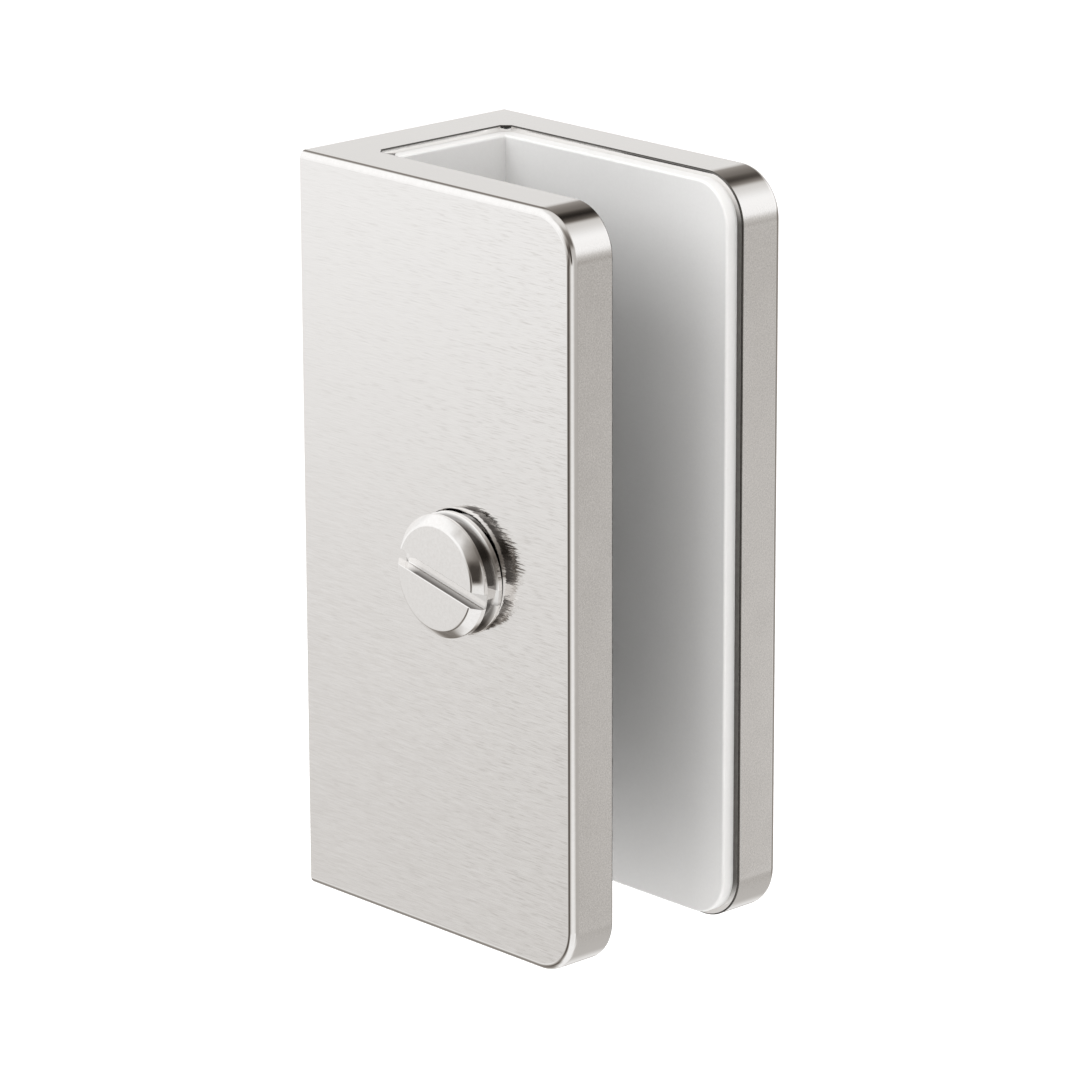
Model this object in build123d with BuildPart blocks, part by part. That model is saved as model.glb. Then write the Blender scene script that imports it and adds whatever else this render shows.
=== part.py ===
"""Glass u-bracket: a machined channel that holds the upright edge of a glass panel to a wall.

The channel's web is screwed to the wall. The glass slides in between the two legs, against a soft
lining, and a slotted screw in the near leg presses a padded plate against it.

Frame, in millimetres: the origin is the centre of the wall face, +X runs from the wall to the open
side of the channel, +Y across it from the near leg to the far one, and +Z up.
"""

import os

from build123d import *

# Channel
height = 60.0
leg_length = 26.3  # from the web's inner face to the free end
leg_thickness = 4.2
web_thickness = 4.2
free_corner_radius = 3.9
polished_edge_radius = 0.6
inner_corner_facet = 0.6
edge_break = 0.12

# Soft lining of the web and the far leg
liner_thickness = 1.1
liner_end_inset = 0.5  # below the channel's top and above its bottom
liner_free_inset = 0.6  # from the far leg's free end
liner_near_gap = 1.4  # from the near leg's inner face
liner_end_bevel = 0.55
liner_rim_break = 0.22

# Glass pocket, from the lining to the pad with the clamp fully open
glass_gap = 10.2

# Pressure plate, and the pad bonded to it
plate_thickness = 1.2
plate_end_inset = 1.5
plate_free_inset = 2.8
plate_corner_radius = 2.6
plate_edge_break = 0.15
plate_back_clearance = 0.1  # to the near leg's inner face
plate_liner_clearance = 0.5
screw_seat_depth = 0.6
pad_thickness = 1.0
pad_inset = 0.3
pad_rim_break = 0.25

# Clamp screw: 10 mm thread of 1.5 mm pitch, drawn as a plain cylinder at its crests
screw_radius = 4.85
screw_protrusion = 2.55
screw_face_bevel = 0.7
screw_slot_width = 1.25
screw_slot_depth = 0.95
screw_slot_angle = -12.5  # from +X towards +Z
screw_end_bevel = 0.5
screw_tip_radius = 3.0
screw_tip_break = 0.15
screw_shoulder_gap = 0.3  # from the end of the thread to the plate's back
screw_hole_clearance = 0.05
screw_seat_clearance = 0.08

# Countersunk holes for the two wall screws
wall_screw_spacing = 36.0
wall_hole_radius = 2.3
wall_countersink_radius = 4.1
wall_countersink_angle = 90.0
liner_hole_clearance = 0.2

# Faces and lines that the pieces share
channel_width = glass_gap + liner_thickness + pad_thickness + plate_thickness + plate_back_clearance
width = channel_width + 2 * leg_thickness
depth = web_thickness + leg_length
near_outer = -width / 2
near_inner = -channel_width / 2
far_inner = channel_width / 2
liner_wall_face = web_thickness + liner_thickness
liner_glass_face = far_inner - liner_thickness
liner_near_end = near_inner + liner_near_gap
plate_back = near_inner + plate_back_clearance
plate_front = plate_back + plate_thickness
plate_wall_end = liner_wall_face + plate_liner_clearance
plate_length = depth - plate_free_inset - plate_wall_end
plate_height = height - 2 * plate_end_inset
plate_middle = plate_wall_end + plate_length / 2
screw_line = (liner_wall_face + depth) / 2  # middle of the glass's grip
screw_face = near_outer - screw_protrusion
thread_end = plate_back - screw_shoulder_gap
seat_floor = plate_back + screw_seat_depth

# Planes that carry sketches and holes, each facing out of its piece
web_plane = Plane(origin=(web_thickness, 0, 0), x_dir=(0, 1, 0), z_dir=(1, 0, 0))
liner_web_plane = Plane(origin=(liner_wall_face, 0, 0), x_dir=(0, 1, 0), z_dir=(1, 0, 0))
near_leg_plane = Plane(origin=(screw_line, near_outer, 0), x_dir=(1, 0, 0), z_dir=(0, -1, 0))
screw_face_plane = Plane(origin=(screw_line, screw_face, 0), x_dir=(1, 0, 0), z_dir=(0, -1, 0))
plate_back_plane = Plane(origin=(plate_middle, plate_back, 0), x_dir=(1, 0, 0), z_dir=(0, -1, 0))
plate_front_plane = Plane(origin=(plate_middle, plate_front, 0), x_dir=(1, 0, 0), z_dir=(0, -1, 0))
seat_plane = Plane(origin=(screw_line, plate_back, 0), x_dir=(1, 0, 0), z_dir=(0, -1, 0))

TINY = 1e-4


# The channel: one machined piece
with BuildPart() as u_body:
    with BuildSketch() as channel_section:
        with Locations((0, near_outer)):
            Rectangle(depth, width, align=(Align.MIN, Align.MIN))
        with Locations((web_thickness, near_inner)):
            Rectangle(leg_length, channel_width, align=(Align.MIN, Align.MIN), mode=Mode.SUBTRACT)
        chamfer(channel_section.vertices().group_by(Axis.X)[1], length=inner_corner_facet)
    extrude(amount=height / 2, both=True)

    # Rounded corners at the open side, top and bottom of each leg
    fillet(u_body.edges().filter_by(Axis.Y).group_by(Axis.X)[-1], radius=free_corner_radius)

    # A broken edge round the channel's mouth, from wall to wall of each end and down both free ends
    channel_walls = u_body.faces().filter_by(
        lambda face: abs(face.center().Z) < TINY
        and face.center().X > TINY
        and abs(face.center().Y) < far_inner + TINY
    )
    corner_lines = channel_walls.edges().filter_by(Axis.Z).filter_by(
        lambda edge: edge.center().X < depth - TINY
    )
    chamfer(channel_walls.edges() - corner_lines, length=edge_break)

    # The polished edge round each leg's outer face, up to the wall
    outer_faces = u_body.faces().filter_by(Axis.Y).sort_by(Axis.Y)
    rim = outer_faces[0].edges() + outer_faces[-1].edges()
    fillet(rim.filter_by(lambda edge: edge.center().X > TINY), radius=polished_edge_radius)

    with Locations(near_leg_plane):
        Hole(radius=screw_radius + screw_hole_clearance, depth=leg_thickness)
    with Locations(web_plane):
        with Locations((0, -wall_screw_spacing / 2), (0, wall_screw_spacing / 2)):
            CounterSinkHole(
                radius=wall_hole_radius,
                counter_sink_radius=wall_countersink_radius,
                depth=web_thickness,
                counter_sink_angle=wall_countersink_angle,
            )

# The lining: one moulded piece, bonded to the web and the far leg
with BuildPart() as channel_liner:
    with BuildSketch() as liner_section:
        with Locations((web_thickness, liner_near_end)):
            Rectangle(liner_thickness, far_inner - liner_near_end, align=(Align.MIN, Align.MIN))
        with Locations((web_thickness, liner_glass_face)):
            Rectangle(leg_length - liner_free_inset, liner_thickness, align=(Align.MIN, Align.MIN))
        chamfer(liner_section.vertices().group_by(Axis.X)[0].sort_by(Axis.Y)[-1], length=inner_corner_facet)
        chamfer(liner_section.vertices().group_by(Axis.X)[0].sort_by(Axis.Y)[0], length=liner_end_bevel)
    extrude(amount=height / 2 - liner_end_inset, both=True)
    fillet(
        channel_liner.edges().filter_by(Axis.Y).group_by(Axis.X)[-1],
        radius=free_corner_radius - liner_free_inset,
    )

    # The soft rim round the faces that the glass meets
    glass_faces = channel_liner.faces().filter_by(Axis.Y).sort_by(Axis.Y)[1:2]
    glass_faces += channel_liner.faces().filter_by(Axis.X).sort_by(Axis.X)[1:2]
    fold = glass_faces.edges().filter_by(Axis.Z).filter_by(
        lambda edge: abs(edge.center().X - liner_wall_face) < TINY
        and abs(edge.center().Y - liner_glass_face) < TINY
    )
    chamfer(glass_faces.edges() - fold, length=liner_rim_break)

    with Locations(liner_web_plane):
        with Locations((0, -wall_screw_spacing / 2), (0, wall_screw_spacing / 2)):
            Hole(radius=wall_countersink_radius + liner_hole_clearance, depth=liner_thickness)

# The plate that the screw presses on, with a blind seat for the screw's tip
with BuildPart() as pressure_plate:
    with BuildSketch(plate_back_plane):
        RectangleRounded(plate_length, plate_height, plate_corner_radius)
    extrude(amount=-plate_thickness)
    chamfer(pressure_plate.faces().filter_by(Axis.Y).edges(), length=plate_edge_break)
    with Locations(seat_plane):
        Hole(radius=screw_tip_radius + screw_seat_clearance, depth=screw_seat_depth)

# The pad that meets the glass
with BuildPart() as clamp_pad:
    with BuildSketch(plate_front_plane):
        RectangleRounded(
            plate_length - 2 * pad_inset,
            plate_height - 2 * pad_inset,
            plate_corner_radius - pad_inset,
        )
    extrude(amount=-pad_thickness)
    chamfer(clamp_pad.faces().sort_by(Axis.Y)[-1].edges(), length=pad_rim_break)

# The clamp screw: turned, then slotted across its face
with BuildPart() as clamp_screw:
    with BuildSketch():
        with BuildLine():
            Polyline(
                (screw_line, screw_face),
                (screw_line + screw_radius - screw_face_bevel, screw_face),
                (screw_line + screw_radius, screw_face + screw_face_bevel),
                (screw_line + screw_radius, thread_end - screw_end_bevel),
                (screw_line + screw_radius - screw_end_bevel, thread_end),
                (screw_line + screw_tip_radius, thread_end),
                (screw_line + screw_tip_radius, seat_floor - screw_tip_break),
                (screw_line + screw_tip_radius - screw_tip_break, seat_floor),
                (screw_line, seat_floor),
                close=True,
            )
        make_face()
    revolve(axis=Axis((screw_line, 0, 0), (0, 1, 0)))
    with BuildSketch(screw_face_plane):
        Rectangle(3 * screw_radius, screw_slot_width, rotation=screw_slot_angle)
    extrude(amount=-screw_slot_depth, mode=Mode.SUBTRACT)


u_body.part.label = "u_body"
channel_liner.part.label = "channel_liner"
pressure_plate.part.label = "pressure_plate"
clamp_pad.part.label = "clamp_pad"
clamp_screw.part.label = "clamp_screw"

os.makedirs("parts", exist_ok=True)
export_step(u_body.part, "parts/u_body.step")
export_step(channel_liner.part, "parts/channel_liner.step")
export_step(pressure_plate.part, "parts/pressure_plate.step")
export_step(clamp_pad.part, "parts/clamp_pad.step")
export_step(clamp_screw.part, "parts/clamp_screw.step")

overall_width = width + screw_protrusion
print(f"overall {depth:.2f} x {overall_width:.2f} x {height:.2f} mm, channel {channel_width:.2f} mm")
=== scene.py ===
"""Glass u-bracket: a brushed steel channel with a soft lining, and a slotted clamp screw that presses a
padded plate against the glass."""

import math

import bmesh
import bpy
from mathutils import Matrix, Vector


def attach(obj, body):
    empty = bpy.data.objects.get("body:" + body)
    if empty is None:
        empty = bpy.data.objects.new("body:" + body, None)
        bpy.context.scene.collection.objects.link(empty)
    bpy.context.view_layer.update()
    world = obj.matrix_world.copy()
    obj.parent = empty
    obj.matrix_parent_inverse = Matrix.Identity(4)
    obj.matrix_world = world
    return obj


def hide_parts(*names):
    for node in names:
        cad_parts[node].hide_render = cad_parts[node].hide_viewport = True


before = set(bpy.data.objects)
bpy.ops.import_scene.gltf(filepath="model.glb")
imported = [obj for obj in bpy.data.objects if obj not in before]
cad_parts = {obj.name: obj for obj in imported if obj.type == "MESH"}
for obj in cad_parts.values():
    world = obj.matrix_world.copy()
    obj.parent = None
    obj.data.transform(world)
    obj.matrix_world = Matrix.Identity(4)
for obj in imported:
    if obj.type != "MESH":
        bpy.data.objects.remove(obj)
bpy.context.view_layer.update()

# ---- Channel ----
# The bracket's body, milled from one bar of stainless steel and screwed to the wall through its web. The
# outer faces are brushed along the glass's depth, the legs' free ends are satin, and each outer face has a
# polished round rim. The channel's inside and the broken inner edges at its ends are painted dark, as shade.

mm = 0.001  # all sizes in this file are in millimetres
slack = 0.01  # for telling which face or edge of a mesh is meant
clear = 1.0  # how far a cutter reaches out of what it cuts
depth, width, height = 30.5, 22.0, 60.0
leg, web = 4.2, 4.2
free_corner = 3.9
polished_round = 0.6
inner_facet = 0.6
mouth_break = 0.12
screw_line = 17.9  # from the wall to the middle of the clamp screw
screw_hole, screw_hole_mouth, screw_hole_lead = 4.75, 4.95, 0.2
wall_screw_height = 18.0
wall_hole, countersink = 2.3, 4.1
half_w, half_h = width / 2, height / 2
inner = half_w - leg


def near(value, target, tolerance=0.001):
    """Whether a measure in metres is the target in millimetres."""
    return abs(value - target * mm) < tolerance * mm


def outlined(outline, bottom, top):
    """A closed bar: the outline drawn at the bottom and extruded to the top."""
    bm = bmesh.new()
    base = bm.faces.new([bm.verts.new((x * mm, y * mm, bottom * mm)) for x, y in outline])
    pulled = bmesh.ops.extrude_face_region(bm, geom=[base])
    upper = [v for v in pulled["geom"] if isinstance(v, bmesh.types.BMVert)]
    bmesh.ops.translate(bm, verts=upper, vec=(0, 0, (top - bottom) * mm))
    bmesh.ops.recalc_face_normals(bm, faces=bm.faces)
    return bm


def turned(profile, centre_x, segments):
    """A turned solid about the line along Y at centre_x; profile is a list of (radius, y)."""
    bm = bmesh.new()
    points = [bm.verts.new(((centre_x + radius) * mm, y * mm, 0)) for radius, y in profile]
    edges = [bm.edges.new(pair) for pair in zip(points, points[1:])]
    bmesh.ops.spin(
        bm,
        geom=points + edges,
        cent=(centre_x * mm, 0, 0),
        axis=(0, 1, 0),
        dvec=(0, 0, 0),
        angle=2 * math.pi,
        steps=segments,
        use_merge=True,
        use_duplicate=False,
    )
    bmesh.ops.remove_doubles(bm, verts=bm.verts, dist=0.001 * mm)
    close_holes(bm)
    return bm


def close_holes(bm):
    """Fills what is still open and turns every face outwards."""
    bmesh.ops.holes_fill(bm, edges=[e for e in bm.edges if e.is_boundary], sides=0)
    bmesh.ops.recalc_face_normals(bm, faces=bm.faces)


def round_edges(bm, wanted, size, segments):
    """Rounds the edges for which wanted(edge) is true."""
    bm.edges.ensure_lookup_table()
    bmesh.ops.bevel(
        bm,
        geom=[e for e in bm.edges if wanted(e)],
        offset=size * mm,
        offset_type="OFFSET",
        affect="EDGES",
        segments=segments,
        profile=0.5,
        material=-1,
        clamp_overlap=True,
    )


def piece(name, bm):
    """The bmesh as an object of the scene."""
    mesh = bpy.data.meshes.new(name)
    bm.to_mesh(mesh)
    bm.free()
    made = bpy.data.objects.new(name, mesh)
    bpy.context.scene.collection.objects.link(made)
    return made


def cut(target, cutter):
    """Cuts one bmesh out of an object, and removes what cut it."""
    tool = piece("cutter", cutter)
    step = target.modifiers.new("cut", "BOOLEAN")
    step.operation = "DIFFERENCE"
    step.solver = "EXACT"
    step.object = tool
    bpy.context.view_layer.update()
    result = bpy.data.meshes.new_from_object(target.evaluated_get(bpy.context.evaluated_depsgraph_get()))
    target.modifiers.clear()
    uncut = target.data
    result.name = uncut.name
    target.data = result
    bpy.data.meshes.remove(uncut)
    bpy.data.objects.remove(tool)


def cut_wall_screw_holes(target, profile, segments):
    """Cuts the two holes on the wall screws' lines; profile is a list of (radius, distance from the wall)."""
    for z in (-wall_screw_height, wall_screw_height):
        hole = turned(profile, 0, segments)
        to_x = Matrix.Rotation(-math.pi / 2, 3, "Z")
        bmesh.ops.rotate(hole, cent=(0, 0, 0), matrix=to_x, verts=hole.verts)
        bmesh.ops.translate(hole, verts=hole.verts, vec=(0, 0, z * mm))
        cut(target, hole)


def finish_shading(made, angle):
    """Smooth faces, edges kept sharp above the angle, and flat faces kept flat up to their rounded edges."""
    for polygon in made.data.polygons:
        polygon.use_smooth = True
    made.data.set_sharp_from_angle(angle=math.radians(angle))
    weights = made.modifiers.new("flat faces", "WEIGHTED_NORMAL")
    weights.mode = "FACE_AREA"
    weights.weight = 100
    weights.keep_sharp = True


def free_corner_edge(e):
    a, b = e.verts
    across = near(a.co.z, b.co.z / mm) and near(abs(a.co.z), half_h)
    return across and near(a.co.x, depth) and near(b.co.x, depth)


def outer_rim_edge(e):
    a, b = e.verts
    on_outer_face = near(abs(a.co.y), half_w) and near(a.co.y, b.co.y / mm)
    return on_outer_face and (a.co.x + b.co.x) / 2 > slack * mm


def mouth_edge(e):
    a, b = e.verts
    middle = (a.co + b.co) / 2
    upright = abs(a.co.z - b.co.z) > half_h * mm
    if upright:
        return middle.x > (depth - slack) * mm and near(abs(middle.y), inner)
    inside = max(abs(a.co.y), abs(b.co.y)) < (inner + slack) * mm
    return inside and middle.x > slack * mm


channel_section = [
    (0, -half_w),
    (depth, -half_w),
    (depth, -inner),
    (web + inner_facet, -inner),
    (web, -inner + inner_facet),
    (web, inner - inner_facet),
    (web + inner_facet, inner),
    (depth, inner),
    (depth, half_w),
    (0, half_w),
]
bm = outlined(channel_section, -half_h, half_h)
round_edges(bm, free_corner_edge, free_corner, segments=24)
round_edges(bm, outer_rim_edge, polished_round, segments=8)
round_edges(bm, mouth_edge, mouth_break, segments=2)
channel = piece("channel", bm)
screw_hole_profile = [
    (screw_hole_mouth + clear, -half_w - clear),
    (screw_hole_mouth, -half_w),
    (screw_hole, -half_w + screw_hole_lead),
    (screw_hole, -inner - screw_hole_lead),
    (screw_hole_mouth, -inner),
    (screw_hole_mouth + clear, -inner + clear),
]
cut(channel, turned(screw_hole_profile, screw_line, segments=128))
wall_hole_profile = [
    (wall_hole, -clear),
    (wall_hole, web - (countersink - wall_hole)),
    (countersink, web),
    (countersink + clear, web + clear),
]
cut_wall_screw_holes(channel, wall_hole_profile, segments=96)
finish_shading(channel, angle=20)


class Nodes:
    """Fills one node tree: each method adds a node, joins or sets its inputs, and gives back its result."""

    def __init__(self, tree):
        tree.nodes.clear()
        self.tree = tree

    def add(self, kind, inputs=None, **settings):
        node = self.tree.nodes.new(kind)
        for key, value in settings.items():
            setattr(node, key, value)
        for key, value in (inputs or {}).items():
            if isinstance(value, bpy.types.NodeSocket):
                self.tree.links.new(value, node.inputs[key])
            else:
                node.inputs[key].default_value = value
        return node

    def maths(self, operation, *values):
        return self.add("ShaderNodeMath", dict(enumerate(values)), operation=operation).outputs[0]

    def vector(self, operation, *values, result="Vector"):
        return self.add("ShaderNodeVectorMath", dict(enumerate(values)), operation=operation).outputs[result]

    def scaled(self, vector, by):
        return self.add("ShaderNodeVectorMath", {0: vector, "Scale": by}, operation="SCALE").outputs[0]

    def xyz(self, vector):
        return self.add("ShaderNodeSeparateXYZ", {0: vector}).outputs

    def ranged(self, value, start, end, to_start=0.0, to_end=1.0, curve="LINEAR"):
        limits = {"From Min": start, "From Max": end, "To Min": to_start, "To Max": to_end}
        return self.add("ShaderNodeMapRange", {"Value": value, **limits}, interpolation_type=curve).outputs[0]

    def noise(self, place, scale, detail, roughness):
        look = {"Vector": place, "Scale": scale, "Detail": detail, "Roughness": roughness}
        return self.add("ShaderNodeTexNoise", look).outputs["Fac"]

    def mixed(self, factor, first, second):
        values = {"Factor": factor, "A": first, "B": second}
        return self.add("ShaderNodeMix", values, data_type="FLOAT").outputs["Result"]

    def mixed_colours(self, factor, first, second):
        # a Mix node set to colours takes them at its sockets 6 and 7 and gives its result at 2
        return self.add("ShaderNodeMix", {"Factor": factor, 6: first, 7: second}, data_type="RGBA").outputs[2]

    def colour_between(self, tone, dark, light):
        ramp = self.add("ShaderNodeValToRGB", {"Fac": tone})
        ramp.color_ramp.elements[0].color = (*dark, 1)
        ramp.color_ramp.elements[1].color = (*light, 1)
        return ramp.outputs["Color"]

    def place_in_mm(self):
        return self.scaled(self.add("ShaderNodeTexCoord").outputs["Object"], 1000.0)

    def placed(self, group, **inputs):
        return self.add("ShaderNodeGroup", inputs, node_tree=group).outputs

    def metal(self, colour, roughness, normal):
        look = {"Base Color": colour, "Metallic": 1.0, "Roughness": roughness, "Normal": normal}
        shader = self.add("ShaderNodeBsdfPrincipled", look)
        self.add("ShaderNodeOutputMaterial", {"Surface": shader.outputs["BSDF"]})


def new_material(name):
    material = bpy.data.materials.new(name)
    material.use_nodes = True
    return material, Nodes(material.node_tree)


def new_group(name, inputs, outputs):
    """An empty node group with float, vector or colour sockets, and what comes in through them."""
    group = bpy.data.node_groups.new(name, "ShaderNodeTree")
    kinds = {"float": "NodeSocketFloat", "vector": "NodeSocketVector", "colour": "NodeSocketColor"}
    for label, kind in inputs.items():
        group.interface.new_socket(label, in_out="INPUT", socket_type=kinds[kind])
    for label, kind in outputs.items():
        group.interface.new_socket(label, in_out="OUTPUT", socket_type=kinds[kind])
    nodes = Nodes(group)
    return group, nodes, nodes.add("NodeGroupInput").outputs


# Brush marks: short scratches that run along the first axis of Place, which is in millimetres. Lean is how
# far each scratch tips the surface to one side, from -1 to 1, and Patches is a slow change of tone.
mark_length, mark_width = 1.3, 0.085
marks_strong_at, marks_faint_at = -12.0, 14.0  # heights from the channel's middle
brush_marks, nodes, given = new_group(
    "brush marks", {"Place": "vector"}, {"Marks": "float", "Lean": "float", "Patches": "float"}
)
split = nodes.xyz(given["Place"])
along = nodes.maths("DIVIDE", split[0], mark_length)
across = nodes.maths("DIVIDE", split[1], mark_width)
spot = nodes.add("ShaderNodeCombineXYZ", {0: along, 1: across, 2: 3.7}).outputs[0]
fine = nodes.noise(spot, scale=1.0, detail=2.0, roughness=0.6)
longer_spot = nodes.vector("ADD", nodes.vector("MULTIPLY", spot, (0.55, 0.4, 1.0)), (17.0, 5.0, 9.0))
longer = nodes.noise(longer_spot, scale=1.0, detail=1.0, roughness=0.5)
marks = nodes.ranged(nodes.mixed(0.4, fine, longer), 0.32, 0.68)
tipped_spot = nodes.vector("ADD", spot, (31.0, 77.0, 1.0))
tipped = nodes.noise(tipped_spot, scale=1.0, detail=1.0, roughness=0.5)
lean = nodes.ranged(tipped, 0.3, 0.7, -1.0, 1.0)
wide_spot = nodes.vector("MULTIPLY", given["Place"], (0.11, 0.28, 0.2))
patches = nodes.noise(wide_spot, scale=1.0, detail=3.0, roughness=0.5)
nodes.add("NodeGroupOutput", {"Marks": marks, "Lean": lean, "Patches": patches})

# Fine grain: the even speckle of a blasted, ground or moulded surface. Its size is in millimetres.
fine_grain, nodes, given = new_group(
    "fine grain", {"Place": "vector", "Size": "float"}, {"Grain": "float", "Cloud": "float"}
)
speckles_a_mm = nodes.maths("DIVIDE", 1.0, given["Size"])
speckle = nodes.noise(given["Place"], scale=speckles_a_mm, detail=2.0, roughness=0.6)
grain = nodes.ranged(speckle, 0.3, 0.7)
cloud = nodes.noise(given["Place"], scale=0.35, detail=3.0, roughness=0.5)
nodes.add("NodeGroupOutput", {"Grain": grain, "Cloud": cloud})

# Polished ends: towards the top and bottom of the channel a finish goes over to a bright polish, between two
# heights above and below its middle. On the channel's inside this is where the painted shade gives way.
polished_tone, polished_roughness = (0.86, 0.845, 0.832, 1), 0.06
finish_sockets = {"Colour": "colour", "Roughness": "float", "Relief": "float"}
polished_ends, nodes, given = new_group(
    "polished ends", {"Place": "vector", "Start": "float", "End": "float", **finish_sockets}, finish_sockets
)
off_middle = nodes.maths("ABSOLUTE", nodes.xyz(given["Place"])[2])
left = nodes.ranged(off_middle, given["Start"], given["End"], 1.0, 0.0, "SMOOTHSTEP")
faded = {
    "Colour": nodes.mixed_colours(left, polished_tone, given["Colour"]),
    "Roughness": nodes.mixed(left, polished_roughness, given["Roughness"]),
    "Relief": nodes.maths("MULTIPLY", given["Relief"], left),
}
nodes.add("NodeGroupOutput", faded)


def brushed_steel(name, along_axis, across_axis, lean):
    """Stainless steel brushed along one axis; that its marks show more towards the bottom is painted light.
    """
    material, nodes = new_material(name)
    place = nodes.xyz(nodes.place_in_mm())
    through_axis = 3 - along_axis - across_axis
    turned_place = {0: place[along_axis], 1: place[across_axis], 2: place[through_axis]}
    turned_place = nodes.add("ShaderNodeCombineXYZ", turned_place).outputs[0]
    brushed = nodes.placed(brush_marks, Place=turned_place)
    # painted light: the real marks are drawn stronger towards the bottom
    strength = nodes.ranged(place[2], marks_strong_at, marks_faint_at, 0.9, 0.2, "SMOOTHSTEP")
    tone = nodes.mixed(strength, 0.6, nodes.mixed(0.2, brushed["Marks"], brushed["Patches"]))
    colour = nodes.colour_between(tone, (0.79, 0.77, 0.752), (0.91, 0.898, 0.887))
    roughness = nodes.ranged(brushed["Marks"], 0.0, 1.0, 0.06, 0.12)
    sideways = [0, 0, 0]
    sideways[along_axis] = 1
    tip = nodes.scaled(sideways, nodes.maths("MULTIPLY", brushed["Lean"], lean))
    facing = nodes.add("ShaderNodeNewGeometry").outputs["Normal"]
    leant = nodes.vector("NORMALIZE", nodes.vector("ADD", facing, tip))
    relief = {"Height": brushed["Marks"], "Distance": 0.001 * mm, "Strength": 1.0, "Normal": leant}
    nodes.metal(colour, roughness, nodes.add("ShaderNodeBump", relief).outputs[0])
    return material


def grained_steel(name, dark, light, roughness, grain_size, relief_depth, polished_from=None):
    """Stainless steel with an even grain; its ends turn polished between the two heights of polished_from."""
    material, nodes = new_material(name)
    place = nodes.place_in_mm()
    grain = nodes.placed(fine_grain, Place=place, Size=grain_size)
    look = {
        "Colour": nodes.colour_between(nodes.mixed(0.3, grain["Grain"], grain["Cloud"]), dark, light),
        "Roughness": nodes.ranged(grain["Grain"], 0.0, 1.0, *roughness),
        "Relief": grain["Grain"],
    }
    if polished_from:
        look = nodes.placed(polished_ends, Place=place, Start=polished_from[0], End=polished_from[1], **look)
    relief = {"Height": look["Relief"], "Distance": relief_depth * mm, "Strength": 1.0}
    nodes.metal(look["Colour"], look["Roughness"], nodes.add("ShaderNodeBump", relief).outputs[0])
    return material


X, Y, Z = 0, 1, 2
brushed_near = brushed_steel("brushed steel", X, Z, lean=0.05)
brushed_far = brushed_steel("brushed steel of the far leg", X, Z, lean=0.015)
brushed_web = brushed_steel("brushed steel of the web", Y, Z, lean=0.015)
satin = grained_steel(
    "satin steel",
    dark=(0.65, 0.632, 0.615),
    light=(0.96, 0.941, 0.922),
    roughness=(0.16, 0.24),
    grain_size=0.12,
    relief_depth=0.0006,
    polished_from=(25.4, 28.2),
)
ground = grained_steel(
    "ground steel",
    dark=(0.84, 0.825, 0.81),
    light=(0.89, 0.878, 0.865),
    roughness=(0.1, 0.16),
    grain_size=0.3,
    relief_depth=0.0002,
)
polished = grained_steel(
    "polished steel",
    dark=(0.85, 0.835, 0.82),
    light=(0.9, 0.887, 0.875),
    roughness=(0.03, 0.07),
    grain_size=0.4,
    relief_depth=0.00005,
)
# Painted shade: the channel's inside and holes are dark, giving way to polish near the open ends.
milled_painted_shade = grained_steel(
    "milled steel",
    dark=(0.14, 0.134, 0.127),
    light=(0.19, 0.182, 0.173),
    roughness=(0.16, 0.24),
    grain_size=0.4,
    relief_depth=0.0002,
    polished_from=(26.2, 28.6),
)
# Painted shade: the broken inner edges at the channel's top and bottom are coloured dark, as shade.
broken = grained_steel(
    "broken edge painted dark as shade",
    dark=(0.13, 0.124, 0.117),
    light=(0.18, 0.172, 0.163),
    roughness=(0.16, 0.24),
    grain_size=0.4,
    relief_depth=0.0002,
)


def channel_finish(normal, middle):
    """The finish of one face of the channel; its middle is in millimetres."""
    off_centre, off_middle = abs(middle.y), abs(middle.z)
    on_leg = off_centre > inner + mouth_break + slack
    past_web = middle.x > web - mouth_break - slack
    in_corner = middle.x > depth - free_corner
    free_end = in_corner and normal.x > 0.01 > abs(normal.y)
    near_end = off_middle > half_h - free_corner
    slanting = max(abs(normal.x), abs(normal.y), abs(normal.z)) < 0.99 and abs(normal.z) > 0.05
    if abs(normal.y) > 0.999 and off_centre > half_w - slack:
        return brushed_near if normal.y < 0 else brushed_far
    if normal.x < -0.999 and middle.x < slack:
        return brushed_web
    if on_leg and free_end and off_centre < half_w - polished_round + slack:
        return satin
    if abs(normal.z) > 0.999 and off_middle > half_h - slack:
        return ground
    if on_leg and (in_corner or off_centre > half_w - polished_round - 5 * slack):
        return polished
    # painted shade on the broken inner edges at the top and bottom
    if slanting and past_web and near_end:
        return broken
    # painted shade on the rest of the channel's inside
    return milled_painted_shade


channel_finishes = [brushed_near, brushed_far, brushed_web, satin, ground, polished, milled_painted_shade, broken]
for finish in channel_finishes:
    channel.data.materials.append(finish)
for face in channel.data.polygons:
    face.material_index = channel_finishes.index(channel_finish(face.normal, face.center / mm))

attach(channel, "bracket")
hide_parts("u_body")

# ---- Lining ----
# An L of pale soft vinyl, moulded in one piece and bonded to the web and the far leg. The glass slides along
# it, so its edges are round where the glass meets them, and it stops short of the steel all round.

lining_thickness = 1.1
lining_top = 29.5
lining_free_end = 29.9
lining_near_end = -5.4
lining_near_bevel = 0.55
lining_corner = 3.3
lining_rim = 0.22
lining_hole, lining_hole_lead = 4.3, 0.1
glass_face = inner - lining_thickness
web_face = web + lining_thickness


def lining_corner_edge(e):
    a, b = e.verts
    across = near(a.co.z, b.co.z / mm) and near(abs(a.co.z), lining_top)
    return across and near(a.co.x, lining_free_end) and near(b.co.x, lining_free_end)


def lining_soft_edge(e):
    a, b = e.verts
    on_glass_face = near(a.co.y, glass_face) and near(b.co.y, glass_face)
    on_web_face = near(a.co.x, web_face) and near(b.co.x, web_face)
    fold = on_glass_face and on_web_face
    return (on_glass_face or on_web_face) and not fold


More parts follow.
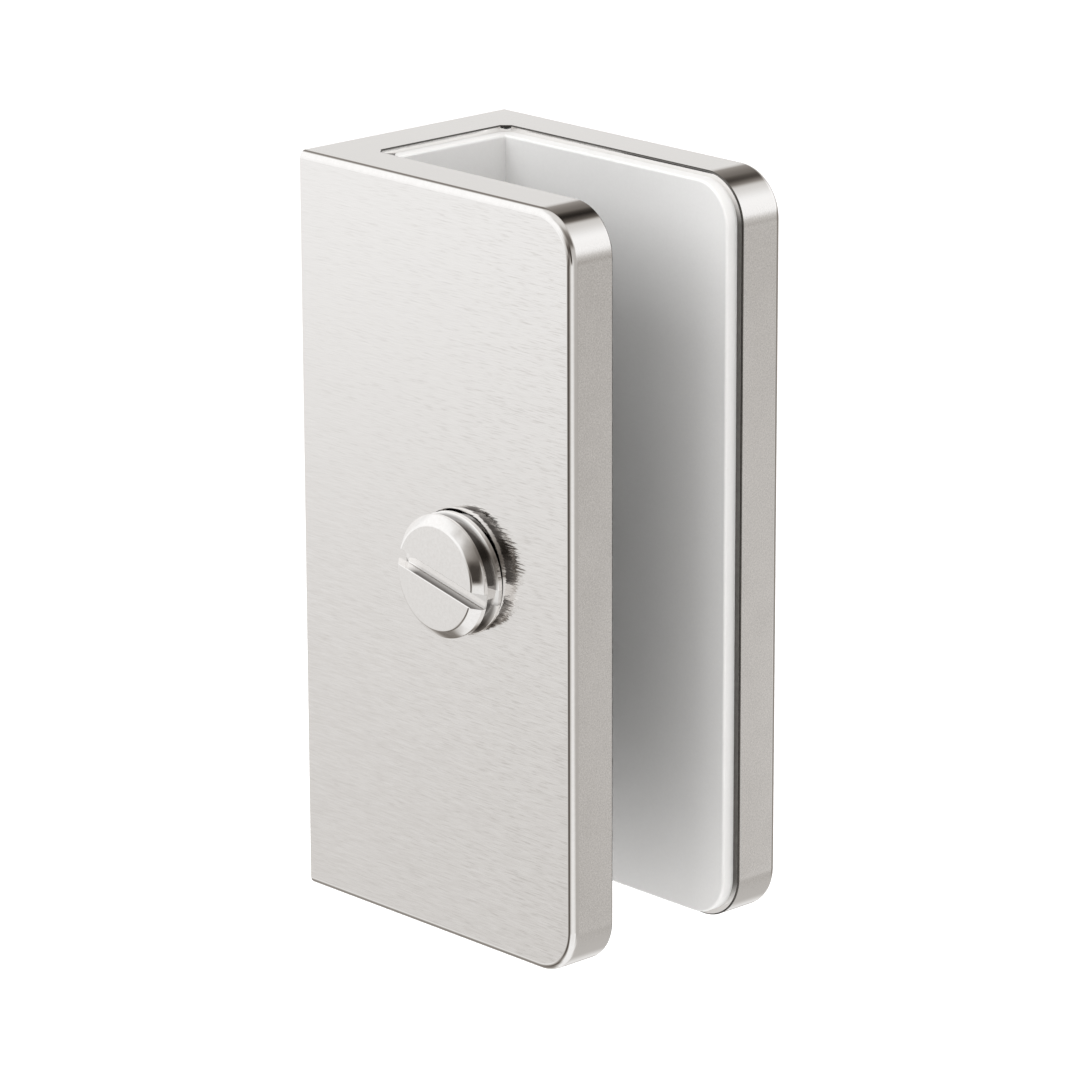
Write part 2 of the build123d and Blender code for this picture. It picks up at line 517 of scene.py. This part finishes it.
lining_section = [
    (web + lining_near_bevel, lining_near_end),
    (web_face, lining_near_end),
    (web_face, glass_face),
    (lining_free_end, glass_face),
    (lining_free_end, inner),
    (web + inner_facet, inner),
    (web, inner - inner_facet),
    (web, lining_near_end + lining_near_bevel),
]
bm = outlined(lining_section, -lining_top, lining_top)
round_edges(bm, lining_corner_edge, lining_corner, segments=16)
round_edges(bm, lining_soft_edge, lining_rim, segments=5)
lining = piece("lining", bm)
lining_hole_profile = [
    (0, web - clear),
    (lining_hole, web - clear),
    (lining_hole, web_face - lining_hole_lead),
    (lining_hole + lining_hole_lead, web_face),
    (lining_hole + lining_hole_lead + clear, web_face + clear),
    (0, web_face + clear),
]
cut_wall_screw_holes(lining, lining_hole_profile, segments=64)
finish_shading(lining, angle=25)


def moulded(name, dark, light, roughness):
    """A soft moulded skin, as of vinyl or rubber, with a faint grain."""
    material, nodes = new_material(name)
    grain = nodes.placed(fine_grain, Place=nodes.place_in_mm(), Size=0.25)
    relief = {"Height": grain["Grain"], "Distance": 0.002 * mm, "Strength": 1.0}
    look = {
        "Base Color": nodes.colour_between(nodes.mixed(0.5, grain["Grain"], grain["Cloud"]), dark, light),
        "Roughness": nodes.ranged(grain["Grain"], 0.0, 1.0, *roughness),
        "Normal": nodes.add("ShaderNodeBump", relief).outputs[0],
    }
    shader = nodes.add("ShaderNodeBsdfPrincipled", look)
    nodes.add("ShaderNodeOutputMaterial", {"Surface": shader.outputs["BSDF"]})
    return material


pale_vinyl = moulded(
    "pale vinyl", dark=(0.85, 0.85, 0.845), light=(0.89, 0.89, 0.885), roughness=(0.33, 0.46)
)
lining.data.materials.append(pale_vinyl)
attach(lining, "bracket")
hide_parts("channel_liner")

# ---- Pressure plate ----
# A stamped steel plate with rounded corners that lies behind the near leg. A blind seat milled in its back
# takes the tip of the clamp screw, which pushes the plate towards the lining.

plate_wall_end, plate_free_end, plate_top, plate_corner = 5.8, 27.7, 28.5, 2.6
plate_back, plate_front = -6.7, -5.5
plate_edge = 0.15
seat_radius, seat_depth = 3.08, 0.6


def rounded_plate(inset, back, front, broken_at, edge, segments):
    """A plate with rounded corners, inset from the pressure plate's outline, its edges broken at each y."""
    x0, x1 = plate_wall_end + inset, plate_free_end - inset
    top = plate_top - inset
    bm = outlined([(x0, back), (x1, back), (x1, front), (x0, front)], -top, top)
    through = 0.1 * mm  # only the four corner edges run from back to front
    corner = plate_corner - inset
    round_edges(bm, lambda e: abs(e.verts[0].co.y - e.verts[1].co.y) > through, corner, segments=12)
    for y in broken_at:
        round_edges(bm, lambda e: all(near(v.co.y, y) for v in e.verts), edge, segments)
    return bm


both_faces = (plate_back, plate_front)
plate = piece("plate", rounded_plate(0, *both_faces, broken_at=both_faces, edge=plate_edge, segments=3))
seat_start, seat_floor = plate_back - clear, plate_back + seat_depth
seat_profile = [(0, seat_start), (seat_radius, seat_start), (seat_radius, seat_floor), (0, seat_floor)]
cut(plate, turned(seat_profile, screw_line, segments=96))
finish_shading(plate, angle=25)
plate_steel = grained_steel(
    "plate steel",
    dark=(0.5, 0.5, 0.49),
    light=(0.64, 0.635, 0.625),
    roughness=(0.28, 0.4),
    grain_size=0.3,
    relief_depth=0.001,
)
plate.data.materials.append(plate_steel)
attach(plate, "clamp")
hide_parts("pressure_plate")

# ---- Clamp pad ----
# The pad of dark rubber that meets the glass. It is moulded flat with a round rim on its front, and bonded
# to the front of the pressure plate.

pad_front = -4.5
pad_inset, pad_rim = 0.3, 0.25
pad_shape = rounded_plate(
    pad_inset, plate_front, pad_front, broken_at=(pad_front,), edge=pad_rim, segments=5
)
pad = piece("pad", pad_shape)
finish_shading(pad, angle=25)
pad_rubber = moulded(
    "pad rubber", dark=(0.035, 0.035, 0.036), light=(0.05, 0.05, 0.052), roughness=(0.45, 0.58)
)
pad.data.materials.append(pad_rubber)
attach(pad, "clamp")
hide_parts("clamp_pad")

# ---- Clamp screw ----
# A stainless screw with a coarse 10 mm thread, turned with a bevelled face and slotted for a coin or driver.
# It is screwed through the near leg, and its turned tip sits in the plate's blind seat.

screw_crest, screw_root = 4.85, 3.98
pitch = 1.5
crest_flat, root_flat = 0.34, 0.2
screw_face, collar = -13.55, -12.85  # at the collar the bevel ends and the thread begins
face_radius = 4.15
face_round, collar_round = 0.12, 0.05
thread_end, thread_end_bevel = -7.0, 0.5
tip_radius, screw_tip, tip_break = 3.0, -6.1, 0.15
slot_width, slot_depth, slot_turn = 1.25, 0.95, math.radians(-12.5)
slot_lip, slot_floor_round = 0.05, 0.12


def welded(made):
    """Merges the near-double points that a cut leaves, and closes what they held open."""
    bm = bmesh.new()
    bm.from_mesh(made.data)
    bmesh.ops.remove_doubles(bm, verts=bm.verts, dist=0.004 * mm)
    bmesh.ops.dissolve_degenerate(bm, edges=bm.edges, dist=0.002 * mm)
    close_holes(bm)
    bm.to_mesh(made.data)
    bm.free()


screw_profile = [
    (face_radius, screw_face),
    (screw_crest, collar),
    (screw_crest, thread_end - thread_end_bevel),
    (screw_crest - thread_end_bevel, thread_end),
    (tip_radius, thread_end),
    (tip_radius, screw_tip - tip_break),
    (tip_radius - tip_break, screw_tip),
]
blank = turned(screw_profile, screw_line, segments=192)
round_edges(blank, lambda e: all(near(v.co.y, screw_face) for v in e.verts), face_round, segments=5)
round_edges(blank, lambda e: all(near(v.co.y, collar) for v in e.verts), collar_round, segments=3)
screw = piece("screw", blank)

# The thread is one groove, run along its helix, trimmed flat behind the collar and cut out of the blank.
steps_a_turn, turns = 144, 6
over = 0.15  # how far the cutter stands out beyond the crests
whole_collar = 0.2  # how much of the crest's cylinder is left whole
groove_half = (pitch - crest_flat) / 2
flank = (groove_half - root_flat / 2) / (screw_crest - screw_root)
groove_profile = [
    (screw_crest + over, -groove_half - over * flank),
    (screw_root, -root_flat / 2),
    (screw_root, root_flat / 2),
    (screw_crest + over, groove_half + over * flank),
]
groove_start = collar + crest_flat + groove_half - 2 * pitch
groove = bmesh.new()
points = [groove.verts.new(((screw_line + r) * mm, (groove_start + y) * mm, 0)) for r, y in groove_profile]
edges = [groove.edges.new(pair) for pair in zip(points, points[1:] + points[:1])]
bmesh.ops.spin(
    groove,
    geom=points + edges,
    cent=(screw_line * mm, 0, 0),
    axis=(0, 1, 0),
    dvec=(0, pitch * mm / steps_a_turn, 0),
    angle=2 * math.pi * turns,
    steps=steps_a_turn * turns,
    use_merge=False,
    use_duplicate=False,
)
bmesh.ops.bisect_plane(
    groove,
    geom=groove.verts[:] + groove.edges[:] + groove.faces[:],
    plane_co=(0, (collar + whole_collar) * mm, 0),
    plane_no=(0, -1, 0),
    clear_outer=True,
)
close_holes(groove)
cut(screw, groove)
welded(screw)

# The slot, with a small lead-in at the face. It is drawn across the face, then turned and set on the screw.
half_slot = slot_width / 2
slot_reach = 7.0  # from the screw's middle, past its rim
slot_section = [
    (-half_slot - slot_lip - clear, -clear),
    (half_slot + slot_lip + clear, -clear),
    (half_slot, slot_lip),
    (half_slot, slot_depth),
    (-half_slot, slot_depth),
    (-half_slot, slot_lip),
]


def slot_floor_edge(e):
    a, b = e.verts
    lengthways = abs(a.co.z - b.co.z) > slot_reach * mm
    return near(a.co.y, slot_depth) and near(b.co.y, slot_depth) and lengthways


slot = outlined(slot_section, -slot_reach, slot_reach)
round_edges(slot, slot_floor_edge, slot_floor_round, segments=10)
slot_way = Matrix.Rotation(math.pi / 2 - slot_turn, 3, "Y")
bmesh.ops.rotate(slot, cent=(0, 0, 0), matrix=slot_way, verts=slot.verts)
bmesh.ops.translate(slot, verts=slot.verts, vec=(screw_line * mm, screw_face * mm, 0))
cut(screw, slot)
welded(screw)
finish_shading(screw, angle=28)

# The steel is polished. In the thread's groove and on the slot's lower wall its colour is painted dark as
# shade, and on the slot's wall this painted shade is for camera rays only.
screw_steel, nodes = new_material("polished screw steel")
place = nodes.place_in_mm()
grain = nodes.placed(fine_grain, Place=place, Size=0.3)["Grain"]
from_face = nodes.vector("SUBTRACT", place, (screw_line, screw_face, 0))
depth_in = nodes.xyz(from_face)[1]
radius = nodes.vector("LENGTH", nodes.vector("MULTIPLY", from_face, (1, 0, 1)), result="Value")
slot_across = (-math.sin(slot_turn), 0, math.cos(slot_turn))
slot_along = (math.cos(slot_turn), 0, math.sin(slot_turn))
across = nodes.vector("DOT_PRODUCT", from_face, slot_across, result="Value")
along = nodes.vector("DOT_PRODUCT", from_face, slot_along, result="Value")

in_slot = nodes.ranged(nodes.maths("ABSOLUTE", across), half_slot + 0.03, half_slot + 0.02)
slot_wall_shade = nodes.maths("MULTIPLY", in_slot, nodes.ranged(depth_in, slot_lip, 2 * slot_lip))
for share in (
    nodes.ranged(along, -3.3, -2.3),  # no painted shade at the end nearest the wall, which stays bright
    nodes.ranged(across, 0.3 - half_slot, 0.01 - half_slot, 0.3),  # painted shade on the lower wall more than on the floor
    nodes.ranged(depth_in, 0.25, slot_depth, 1.0, 0.5),  # painted shade darker near the face
    # the painted shade on the slot's wall is for camera rays only
    nodes.add("ShaderNodeLightPath").outputs["Is Camera Ray"],
):
    slot_wall_shade = nodes.maths("MULTIPLY", slot_wall_shade, share)
below_crest = nodes.ranged(radius, 4.82, 4.6)
behind_collar = nodes.ranged(depth_in, 0.84, 0.9, 0.0, 0.72)
groove_shade = nodes.maths("MULTIPLY", below_crest, behind_collar)
groove_shade = nodes.maths("MULTIPLY", groove_shade, nodes.maths("SUBTRACT", 1.0, in_slot))
slot_and_groove_shade = nodes.maths("MAXIMUM", slot_wall_shade, groove_shade)

shine = nodes.colour_between(grain, (0.85, 0.835, 0.82), (0.9, 0.887, 0.875))
# painted shade: the polished colour turns dark in the groove and on the slot's wall
colour = nodes.mixed_colours(slot_and_groove_shade, shine, (0.11, 0.1, 0.093, 1))
relief = nodes.add("ShaderNodeBump", {"Height": grain, "Distance": 0.0001 * mm}).outputs[0]
nodes.metal(colour, nodes.ranged(grain, 0.0, 1.0, 0.06, 0.1), relief)
screw.data.materials.append(screw_steel)

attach(screw, "screw")
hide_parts("clamp_screw")

# ---- Studio ----
# A plain white studio: a pale floor well below the bracket, soft panels all round that the steel mirrors,
# soft lamps for the vinyl, and the camera.

floor_height, floor_reach = -90.0, 3000.0
floor_glow = 0.4  # seen by the camera alone
bm = bmesh.new()
bmesh.ops.create_grid(bm, x_segments=1, y_segments=1, size=floor_reach * mm)
bmesh.ops.translate(bm, verts=bm.verts, vec=(0, 0, floor_height * mm))
floor = piece("floor", bm)
floor_paint, nodes = new_material("pale floor")
seen_straight = nodes.add("ShaderNodeLightPath").outputs["Is Camera Ray"]
glow_strength = nodes.maths("MULTIPLY", seen_straight, floor_glow)
glow = nodes.add("ShaderNodeEmission", {"Color": (1, 1, 1, 1), "Strength": glow_strength}).outputs[0]
matt = nodes.add("ShaderNodeBsdfDiffuse", {"Color": (0.9, 0.9, 0.9, 1)}).outputs[0]
top_side = nodes.add("ShaderNodeAddShader", {0: matt, 1: glow}).outputs[0]
under_side = nodes.add("ShaderNodeBsdfTransparent").outputs[0]
from_below = nodes.add("ShaderNodeNewGeometry").outputs["Backfacing"]
both_sides = nodes.add("ShaderNodeMixShader", {0: from_below, 1: top_side, 2: under_side}).outputs[0]
nodes.add("ShaderNodeOutputMaterial", {"Surface": both_sides})
floor.data.materials.append(floor_paint)
floor.visible_glossy = False

# A soft panel: round its middle azimuth and between its low and high edges, in degrees, the light goes over
# from Level to the panel's Radiance, and each edge fades over so many degrees.
panel_sockets = (
    "Azimuth", "Elevation", "Level", "Radiance", "Middle", "Half width", "Side fade",
    "Low edge", "Low fade", "High edge", "High fade",
)
soft_panel, nodes, given = new_group("soft panel", dict.fromkeys(panel_sockets, "float"), {"Level": "float"})
turn = nodes.maths("WRAP", nodes.maths("SUBTRACT", given["Azimuth"], given["Middle"]), 180.0, -180.0)
beyond = {
    "Side fade": nodes.maths("SUBTRACT", nodes.maths("ABSOLUTE", turn), given["Half width"]),
    "Low fade": nodes.maths("SUBTRACT", given["Low edge"], given["Elevation"]),
    "High fade": nodes.maths("SUBTRACT", given["Elevation"], given["High edge"]),
}
inside = 1.0
for fade, distance in beyond.items():
    half = nodes.maths("MULTIPLY", given[fade], 0.5)
    minus_half = nodes.maths("MULTIPLY", given[fade], -0.5)
    edge = nodes.ranged(distance, minus_half, half, 1.0, 0.0, "SMOOTHSTEP")
    inside = nodes.maths("MULTIPLY", edge, inside)
nodes.add("NodeGroupOutput", {"Level": nodes.mixed(inside, given["Level"], given["Radiance"])})

# Azimuth is 0 to the front, beyond the near leg, and grows towards the open side of the channel. The columns
# are the radiance, the middle azimuth, the half width and its fade, the low edge and its fade, and the high
# edge and its fade.
panels = {
    "ceiling": (0.78, 0, 400, 1, 60, 11, 100, 1),
    "left floor": (0.12, -42, 46, 6, -22, 21, -4, 10),
    "left softbox": (1.07, -59, 39, 27, -20, 22, 60, 25),
    "front softbox": (1.11, -29, 42, 22, 5, 16, 49, 34),
    "top left softbox": (1.12, -62, 26, 16, 12, 12, 44, 10),
    "rear horizon": (1.03, -136, 44, 9, -3, 8, 23, 6),
    "rear flag": (0.13, -140, 38, 34, 24, 58, 52, 15),
    "rear dark line": (0.02, -172, 19, 12, 44, 7, 51, 6),
    "left floor flag": (0.24, -88, 25, 36, -70, 15, -33, 31),
    "rear left floor": (0.37, -118, 17, 38, -51, 18, -18, 12),
    "rear low": (0.54, 158, 46, 42, -65, 21, -21, 13),
    "rear low flag": (0.3, -171, 43, 16, -30, 12, 1, 8),
    "rear right softbox": (1.07, 142, 38, 20, 1, 11, 40, 27),
    "camera side": (0.16, 72, 43, 46, 16, 14, 58, 42),
    "front right flag": (0.02, 23, 22, 31, -18, 16, 19, 29),
    "open side": (0.57, 87, 28, 28, -21, 6, 24, 16),
    "front flag": (0.1, -20, 16, 22, -49, 38, -11, 9),
    "low front flag": (0.02, -46, 24, 32, -66, 36, -42, 32),
    "right front floor": (0.9, 40, 22, 30, -38, 22, -2, 33),
    "right side": (0.49, 108, 26, 6, -41, 38, 1, 27),
    "rear right floor": (0.02, 145, 9, 42, -14, 14, -5, 18),
    "screw flag": (0.06, 40, 10, 10, -9, 8, 20, 12),
}
world = bpy.data.worlds.new("studio")
bpy.context.scene.world = world
world.use_nodes = True
nodes = Nodes(world.node_tree)
x, y, z = nodes.xyz(nodes.add("ShaderNodeTexCoord").outputs["Generated"])
azimuth = nodes.maths("DEGREES", nodes.maths("ARCTAN2", x, nodes.maths("MULTIPLY", y, -1.0)))
elevation = nodes.maths("DEGREES", nodes.maths("ARCSINE", z))
below, above = 0.97, 0.6  # the plain level under the horizon and over it
level = nodes.ranged(elevation, -10.0, 8.0, below, above, "SMOOTHSTEP")
for name, measures in panels.items():
    values = dict(zip(panel_sockets, (azimuth, elevation, level, *measures)))
    level = nodes.add("ShaderNodeGroup", values, node_tree=soft_panel, label=name).outputs["Level"]
seen_straight = nodes.add("ShaderNodeLightPath").outputs["Is Camera Ray"]
level = nodes.mixed(seen_straight, level, 1.0)
warmth = nodes.add("ShaderNodeValToRGB", {"Fac": level})  # the dimmer, the warmer
warmth.color_ramp.elements[0].color = (1.0, 0.85, 0.73, 1)
warmth.color_ramp.elements[1].color = (1.0, 1.0, 1.0, 1)
for brightness, green, blue in ((0.15, 0.9, 0.81), (0.5, 0.965, 0.925), (0.9, 0.993, 0.985)):
    warmth.color_ramp.elements.new(brightness).color = (1.0, green, blue, 1)
sky = nodes.add("ShaderNodeBackground", {"Color": warmth.outputs["Color"], "Strength": level})
nodes.add("ShaderNodeOutputWorld", {"Surface": sky.outputs[0]})


def direction(azimuth, elevation):
    """The way from the bracket to a lamp or the camera, with the azimuths of the panels."""
    a, e = math.radians(azimuth), math.radians(elevation)
    return Vector((math.sin(a) * math.cos(e), -math.cos(a) * math.cos(e), math.sin(e)))


# Large soft lamps, which the steel doesn't mirror. The columns are the azimuth and elevation, the distance,
# width and height in metres, and the radiance.
lamps = {
    "open side lamp": (30, 4, 0.7, 0.5, 0.7, 0.9),
    "side lamp": (98, 0, 0.7, 0.5, 0.7, 1.0),
    "front top lamp": (-6, 34, 0.7, 0.6, 0.4, 2.0),
    "ceiling lamp": (60, 82, 0.7, 0.7, 0.7, 1.3),
    "floor bounce": (0, -89, 0.088, 0.2, 0.2, 0.2),
}
for name, (lamp_azimuth, lamp_elevation, distance, lamp_width, lamp_height, radiance) in lamps.items():
    light = bpy.data.lights.new(name, "AREA")
    light.shape = "RECTANGLE"
    light.size, light.size_y = lamp_width, lamp_height
    light.energy = radiance * math.pi * lamp_width * lamp_height
    lamp = bpy.data.objects.new(name, light)
    bpy.context.scene.collection.objects.link(lamp)
    toward = direction(lamp_azimuth, lamp_elevation)
    aimed = toward.to_track_quat("Z", "Y").to_matrix().to_4x4()
    lamp.matrix_world = Matrix.Translation(toward * distance) @ aimed
    lamp.visible_glossy = False
    lamp.visible_camera = False

bpy.context.scene.view_settings.view_transform = "Standard"

# The camera stands at the photograph's viewing angle, with a slight roll and a slight offset of its axis.
view_azimuth, view_elevation = 46.891, 16.583
view_distance = 446.42
view_roll = math.radians(-0.2014)
aim = (15.232, 0, 0)
aside, higher = -0.019, -0.310
back = direction(view_azimuth, view_elevation)
right = Vector((-back.y, back.x, 0)).normalized()
up = back.cross(right)
right, up = (
    right * math.cos(view_roll) + up * math.sin(view_roll),
    up * math.cos(view_roll) - right * math.sin(view_roll),
)
camera_data = bpy.data.cameras.new("camera")
camera_data.lens = 190.85
camera_data.sensor_width = 36
camera_data.clip_start = 0.01
camera_data.clip_end = 50
camera = bpy.data.objects.new("camera", camera_data)
place = (Vector(aim) + back * view_distance + right * aside + up * higher) * mm
camera.matrix_world = Matrix.Translation(place) @ Matrix((right, up, back)).transposed().to_4x4()
bpy.context.scene.collection.objects.link(camera)
bpy.context.scene.camera = camera
